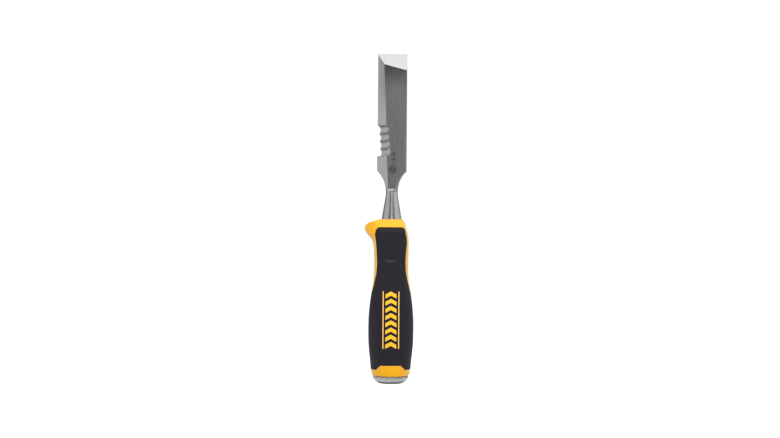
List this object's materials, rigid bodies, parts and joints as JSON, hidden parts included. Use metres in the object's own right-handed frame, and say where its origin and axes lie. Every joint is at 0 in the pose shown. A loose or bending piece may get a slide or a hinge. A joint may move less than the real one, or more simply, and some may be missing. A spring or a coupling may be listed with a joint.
{
  "type": "bench chisel",
  "caption": "Bench chisel with a straight end bevel, a scalloped side-cutting edge, a struck spine, a two-colour moulded handle with a hand guard, and a steel strike cap.",
  "frame": {"origin": "centre of the strike face at the end of the handle", "axes": "+Z along the tool from the strike face to the cutting edge; -Y out of the ground face (the front); +Y out of the flat back; the side-cutting edge and the hand guard are at -X and the struck spine at +X"},
  "size_m": [0.0432, 0.0332, 0.287],
  "materials": {
    "ground_steel": "ground tool steel, fine grain along the blade",
    "yellow_moulding": "moulded nylon, satin",
    "black_grip": "soft moulded grip, fine matt texture",
    "cap_steel": "turned steel, satin"
  },
  "bodies": {
    "root": {"blade": "ground_steel", "handle_core": "yellow_moulding", "grip_front": "black_grip", "grip_back": "black_grip", "strike_cap": "cap_steel"}
  },
  "joints": []
}
